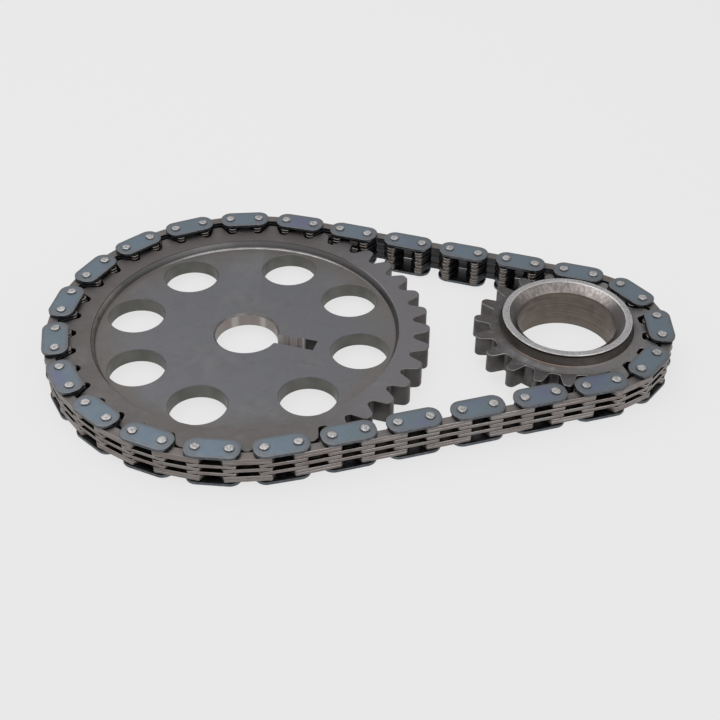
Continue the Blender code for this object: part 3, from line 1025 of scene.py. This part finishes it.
def make_crank():
    face = crank_face_steel()
    edge = oiled_steel("crank_edge_steel", (0.170, 0.160, 0.156), (0.270, 0.258, 0.252), 3, (0.34, 0.46))
    side = oiled_steel("crank_tooth_steel", (0.085, 0.078, 0.076), (0.130, 0.123, 0.121), 4, (0.36, 0.5))
    wall_look = oiled_steel("hub_wall_steel", (0.036, 0.030, 0.027), (0.062, 0.055, 0.051), 5, (0.44, 0.58),
                            stretch=(5, 5, 1))
    worn = worn_steel()
    lit = oiled_steel("hub_edge_steel", (0.380, 0.370, 0.365), (0.560, 0.550, 0.545), 3, (0.3, 0.42))
    low, high, top = LINK_FLOOR + CRANK_BACK_PLAY, LINK_ROOF - CRANK_FACE_PLAY, CRANK_HIGH
    outline = wheel_outline(CRANK_TEETH, CRANK_RADIUS, CRANK_TIP_DROP, CRANK_ROOT_PLAY,
                            CRANK_TIP_ROUND, CRANK_ROOT_ROUND)
    wheel = toothed_wheel("crank_wheel", outline, low, high, [face, edge, side], CRANK_AT)

    def add(profile, materials, slots, operation):
        boolean(wheel, cutter(profile, materials, slots, centre=CRANK_AT), operation)

    shoulder = CRANK_RADIUS * math.cos(CRANK_STEP / 2) - TOE_DEPTH - CRANK_ROOT_PLAY - SHOULDER_INSET
    neck, crown = HUB_RADIUS - HUB_NECK, top - CROWN_HEIGHT
    hub = [(shoulder, high - BITE), (HUB_RADIUS + HUB_FLARE, high + SHOULDER_RISE),
           (neck, crown - HUB_NECK), (HUB_RADIUS, crown), (HUB_RADIUS, top - HUB_EDGE),
           (HUB_RADIUS - HUB_EDGE, top)]
    side_band, edge_band, foot_band = range(1, 4)
    bands = (foot_band, side_band, side_band, side_band, edge_band)
    add(hub, [worn, wall_look, lit, face], bands, "UNION")
    boss = [(BOSS_RADIUS - BOSS_EDGE, 0), (BOSS_RADIUS, BOSS_EDGE), (BOSS_RADIUS, low + BITE)]
    add(boss, [face], None, "UNION")
    bore = [(CRANK_BORE_RADIUS + CRANK_BORE_EDGE + OVERCUT, -OVERCUT), (CRANK_BORE_RADIUS, CRANK_BORE_EDGE),
            (CRANK_BORE_RADIUS, top - MOUTH_DEPTH + OVERCUT)]
    add(bore, [crank_bore_steel()], None, "DIFFERENCE")
    mouth_radius = HUB_RADIUS - HUB_RIM
    slope = (mouth_radius - CRANK_BORE_RADIUS) / MOUTH_DEPTH
    mouth = [(CRANK_BORE_RADIUS - slope * BITE, top - MOUTH_DEPTH - BITE),
             (mouth_radius - slope * MOUTH_EDGE, top - MOUTH_EDGE),
             (mouth_radius + MOUTH_EDGE, top), (mouth_radius + MOUTH_EDGE, top + OVERCUT)]
    slope_band, edge_band = range(2)
    add(mouth, [hub_mouth_steel(), lit], (slope_band, edge_band, slope_band), "DIFFERENCE")
    stand_for(wheel, "crank_sprocket")


# Stage

def make_camera():
    """The photograph's camera, from its focal length, distance, turn, rise and roll."""
    target = Vector((CAM_AT.x + CAMERA_TARGET.x, CAM_AT.y + CAMERA_TARGET.y, RIVET_TOP))
    flat = math.cos(CAMERA_RISE)
    forward = Vector((-math.sin(CAMERA_TURN) * flat, math.cos(CAMERA_TURN) * flat, -math.sin(CAMERA_RISE)))
    right = Vector((math.cos(CAMERA_TURN), math.sin(CAMERA_TURN), 0))
    up = right.cross(forward)
    rolled_right = math.cos(CAMERA_ROLL) * right + math.sin(CAMERA_ROLL) * up
    rolled_up = math.cos(CAMERA_ROLL) * up - math.sin(CAMERA_ROLL) * right
    lens = bpy.data.cameras.new("camera")
    lens.sensor_width = SENSOR
    lens.lens = SENSOR * FOCAL_PIXELS / PHOTO_PIXELS
    lens.clip_start = NEAR_CLIP
    camera = bpy.data.objects.new("camera", lens)
    axes = Matrix((rolled_right, rolled_up, -forward)).transposed().to_4x4()
    camera.matrix_world = Matrix.Translation((target - forward * CAMERA_DISTANCE) * MM) @ axes
    bpy.context.scene.collection.objects.link(camera)
    bpy.context.scene.camera = camera


def seen_directly(tree):
    """1 where the camera, a reflection or a refraction sees the surface, else 0."""
    path = tree.nodes.new("ShaderNodeLightPath")
    share = path.outputs["Is Camera Ray"]
    for name in ("Is Glossy Ray", "Is Transmission Ray"):
        larger = tree.nodes.new("ShaderNodeMath")
        larger.operation = "MAXIMUM"
        tree.links.new(share, larger.inputs[0])
        tree.links.new(path.outputs[name], larger.inputs[1])
        share = larger.outputs[0]
    return share


def make_floor():
    """A plain pale floor that keeps a faint shadow."""
    material = bpy.data.materials.new("floor")
    material.use_nodes = True
    tree = material.node_tree
    tree.nodes.clear()
    plain = tree.nodes.new("ShaderNodeBsdfDiffuse")
    glow = tree.nodes.new("ShaderNodeEmission")
    for shader in (plain, glow):
        shader.inputs["Color"].default_value = (PALE, PALE, PALE, 1)
    share = tree.nodes.new("ShaderNodeMath")
    share.operation = "MULTIPLY"
    share.inputs[1].default_value = FLOOR_GLOW
    tree.links.new(seen_directly(tree), share.inputs[0])
    mix = tree.nodes.new("ShaderNodeMixShader")
    tree.links.new(share.outputs[0], mix.inputs[0])
    tree.links.new(plain.outputs[0], mix.inputs[1])
    tree.links.new(glow.outputs[0], mix.inputs[2])
    output = tree.nodes.new("ShaderNodeOutputMaterial")
    tree.links.new(mix.outputs[0], output.inputs["Surface"])
    shape = bmesh.new()
    bmesh.ops.create_grid(shape, x_segments=1, y_segments=1, size=FLOOR_HALF)
    as_object("floor", shape, [material], Matrix.Translation((0, 0, -FLOOR_DROP)))


def make_light():
    """Soft light from a pale world and two wide lamps."""
    world = bpy.data.worlds.new("world")
    world.use_nodes = True
    tree = world.node_tree
    sky = tree.nodes["Background"]
    sky.inputs["Color"].default_value = (1, 1, 1, 1)
    share = tree.nodes.new("ShaderNodeMapRange")
    share.inputs["To Min"].default_value = WORLD_STRENGTH
    share.inputs["To Max"].default_value = PALE
    tree.links.new(seen_directly(tree), share.inputs["Value"])
    tree.links.new(share.outputs["Result"], sky.inputs["Strength"])
    bpy.context.scene.world = world
    for name, place, size, power in LAMPS:
        lamp = bpy.data.lights.new(name, "AREA")
        lamp.shape = "DISK"
        lamp.size = size
        lamp.energy = power
        lamp_object = bpy.data.objects.new(name, lamp)
        lamp_object.location = place
        lamp_object.rotation_euler = Vector(place).to_track_quat("Z", "Y").to_euler()
        bpy.context.scene.collection.objects.link(lamp_object)
    bpy.context.scene.view_settings.view_transform = "Standard"


make_camera()
make_light()
make_floor()
make_chain()
make_cam()
make_crank()
